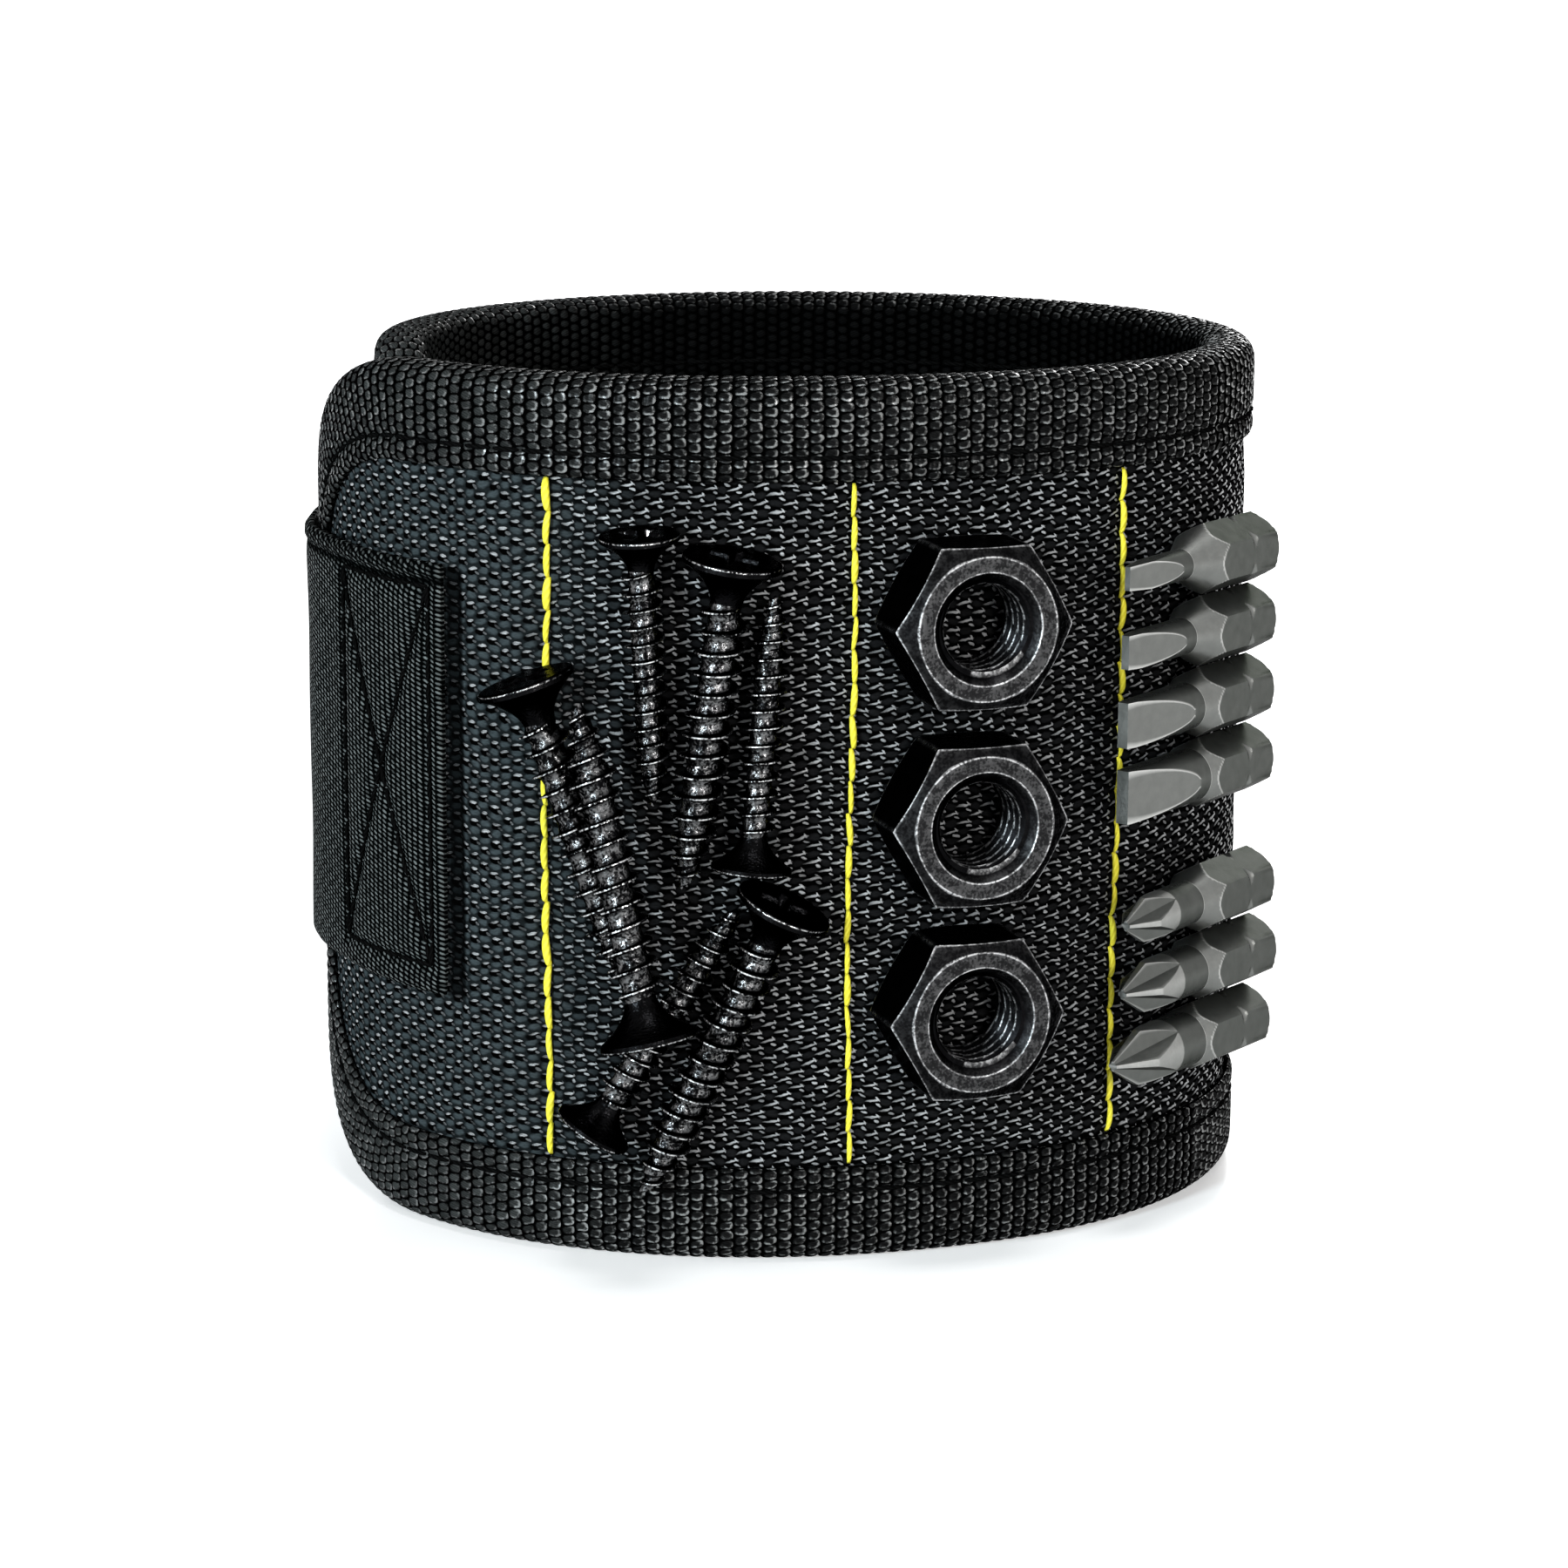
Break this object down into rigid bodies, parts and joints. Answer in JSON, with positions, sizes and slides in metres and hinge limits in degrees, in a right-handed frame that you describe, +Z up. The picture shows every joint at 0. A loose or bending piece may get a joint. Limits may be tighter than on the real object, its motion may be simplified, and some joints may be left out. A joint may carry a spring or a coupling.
{
  "type": "magnetic wristband",
  "caption": "Padded cloth wristband with magnets sewn into its pockets and a hook-and-loop strap, holding screws, nuts and driver bits.",
  "frame": {"origin": "on the ground, under the middle of the whole part's bounding box, with the band standing on its lower edge", "axes": "+Z up along the wrist hole; -Y is the front, with the held hardware; +X is the side with the driver bits"},
  "size_m": [0.1031, 0.0952, 0.09],
  "materials": {
    "cover_fabric": "coarse black woven nylon",
    "lining_fabric": "matt black knitted lining",
    "padding": "grey felt padding",
    "binding_tape": "black ribbed edge tape",
    "strap_webbing": "fine ribbed black webbing",
    "hook_tape": "black nylon hooks",
    "loop_tape": "black brushed nylon loops",
    "yellow_thread": "bright yellow sewing thread",
    "magnet": "nickel plated disc magnet",
    "nut_steel": "black oxide steel",
    "bit_steel": "grey satin tool steel",
    "screw_steel": "glossy black phosphate steel"
  },
  "bodies": {
    "band_front": {"front_cover": "cover_fabric", "front_core": "padding", "front_lining": "lining_fabric", "front_binding": "binding_tape", "strap_anchor": "strap_webbing", "seam_thread_1": "yellow_thread", "seam_thread_2": "yellow_thread", "seam_thread_3": "yellow_thread", "magnet_1_1": "magnet", "magnet_1_2": "magnet", "magnet_1_3": "magnet", "magnet_2_1": "magnet", "magnet_2_2": "magnet", "magnet_2_3": "magnet", "magnet_3_1": "magnet", "magnet_3_2": "magnet", "magnet_3_3": "magnet"},
    "band_side": {"side_cover": "cover_fabric", "side_core": "padding", "side_lining": "lining_fabric", "side_binding_bottom": "binding_tape", "side_binding_top": "binding_tape", "magnet_4_1": "magnet", "magnet_4_2": "magnet", "magnet_4_3": "magnet"},
    "band_back": {"back_cover": "cover_fabric", "back_core": "padding", "back_lining": "lining_fabric", "back_binding": "binding_tape", "loop_patch": "loop_tape", "seam_thread_4": "yellow_thread"},
    "strap_end": {"strap_tail": "strap_webbing", "hook_patch": "hook_tape"},
    "held_nut_1": {"nut_1": "nut_steel"},
    "held_nut_2": {"nut_2": "nut_steel"},
    "held_nut_3": {"nut_3": "nut_steel"},
    "held_slotted_bit_1": {"slotted_bit_1": "bit_steel"},
    "held_slotted_bit_2": {"slotted_bit_2": "bit_steel"},
    "held_slotted_bit_3": {"slotted_bit_3": "bit_steel"},
    "held_slotted_bit_4": {"slotted_bit_4": "bit_steel"},
    "held_phillips_bit_1": {"phillips_bit_1": "bit_steel"},
    "held_phillips_bit_2": {"phillips_bit_2": "bit_steel"},
    "held_phillips_bit_3": {"phillips_bit_3": "bit_steel"},
    "held_screw_short_1": {"screw_short_1": "screw_steel"},
    "held_screw_short_2": {"screw_short_2": "screw_steel"},
    "held_screw_short_3": {"screw_short_3": "screw_steel"},
    "held_screw_long_1": {"screw_long_1": "screw_steel"},
    "held_screw_long_2": {"screw_long_2": "screw_steel"},
    "held_screw_long_3": {"screw_long_3": "screw_steel"},
    "held_screw_long_4": {"screw_long_4": "screw_steel"}
  },
  "joints": [
    {"name": "back_fold", "type": "hinge", "parent": "band_side", "child": "band_back", "pos_m": [0.04873, 0.00354, 0.045], "axis": [0, 0, -1], "range_deg": [0, 60]},
    {"name": "side_fold", "type": "hinge", "parent": "band_front", "child": "band_side", "pos_m": [0.03412, -0.0208, 0.045], "axis": [0, 0, -1], "range_deg": [0, 30]},
    {"name": "strap_peel", "type": "hinge", "parent": "band_front", "child": "strap_end", "pos_m": [-0.05137, 0.01221, 0.0478], "axis": [0, 0, 1], "range_deg": [0, 120]},
    {"name": "pull_nut_1", "type": "slide", "parent": "band_front", "child": "held_nut_1", "axis": [0.319, -0.9478, 0], "range_m": [0, 0.024]},
    {"name": "pull_nut_2", "type": "slide", "parent": "band_front", "child": "held_nut_2", "axis": [0.319, -0.9478, 0], "range_m": [0, 0.024]},
    {"name": "pull_nut_3", "type": "slide", "parent": "band_front", "child": "held_nut_3", "axis": [0.319, -0.9478, 0], "range_m": [0, 0.024]},
    {"name": "pull_slotted_bit_1", "type": "slide", "parent": "band_side", "child": "held_slotted_bit_1", "axis": [0.8105, -0.5857, 0], "range_m": [0, 0.024]},
    {"name": "pull_slotted_bit_2", "type": "slide", "parent": "band_side", "child": "held_slotted_bit_2", "axis": [0.8116, -0.5842, 0], "range_m": [0, 0.024]},
    {"name": "pull_slotted_bit_3", "type": "slide", "parent": "band_side", "child": "held_slotted_bit_3", "axis": [0.8083, -0.5887, 0], "range_m": [0, 0.024]},
    {"name": "pull_slotted_bit_4", "type": "slide", "parent": "band_side", "child": "held_slotted_bit_4", "axis": [0.8073, -0.5902, 0], "range_m": [0, 0.024]},
    {"name": "pull_phillips_bit_1", "type": "slide", "parent": "band_side", "child": "held_phillips_bit_1", "axis": [0.8105, -0.5857, 0], "range_m": [0, 0.024]},
    {"name": "pull_phillips_bit_2", "type": "slide", "parent": "band_side", "child": "held_phillips_bit_2", "axis": [0.7908, -0.612, 0], "range_m": [0, 0.024]},
    {"name": "pull_phillips_bit_3", "type": "slide", "parent": "band_side", "child": "held_phillips_bit_3", "axis": [0.7808, -0.6248, 0], "range_m": [0, 0.024]},
    {"name": "pull_screw_short_1", "type": "slide", "parent": "band_front", "child": "held_screw_short_1", "axis": [-0.198, -0.9802, 0], "range_m": [0, 0.024]},
    {"name": "pull_screw_long_1", "type": "slide", "parent": "band_front", "child": "held_screw_long_1", "axis": [-0.161, -0.987, 0], "range_m": [0, 0.024]},
    {"name": "pull_screw_short_2", "type": "slide", "parent": "band_front", "child": "held_screw_short_2", "axis": [-0.043, -0.9991, 0], "range_m": [0, 0.024]},
    {"name": "pull_screw_long_2", "type": "slide", "parent": "band_front", "child": "held_screw_long_2", "axis": [-0.2341, -0.9722, 0], "range_m": [0, 0.02]},
    {"name": "pull_screw_short_3", "type": "slide", "parent": "band_front", "child": "held_screw_short_3", "axis": [-0.2341, -0.9722, 0], "range_m": [0, 0.02]},
    {"name": "pull_screw_long_4", "type": "slide", "parent": "band_front", "child": "held_screw_long_4", "axis": [-0.2341, -0.9722, 0], "range_m": [0, 0.022]},
    {"name": "pull_screw_long_3", "type": "slide", "parent": "band_front", "child": "held_screw_long_3", "axis": [-0.2341, -0.9722, 0], "range_m": [0, 0.025]}
  ],
  "couplings": [
    {"joint": "side_fold", "follows": "back_fold", "ratio": 0.5},
    {"joint": "strap_peel", "follows": "back_fold", "ratio": 2},
    {"joint": "pull_screw_short_3", "follows": "pull_screw_long_2", "ratio": 1},
    {"joint": "pull_screw_long_4", "follows": "pull_screw_long_2", "ratio": 1.1},
    {"joint": "pull_screw_long_3", "follows": "pull_screw_long_2", "ratio": 1.25}
  ]
}
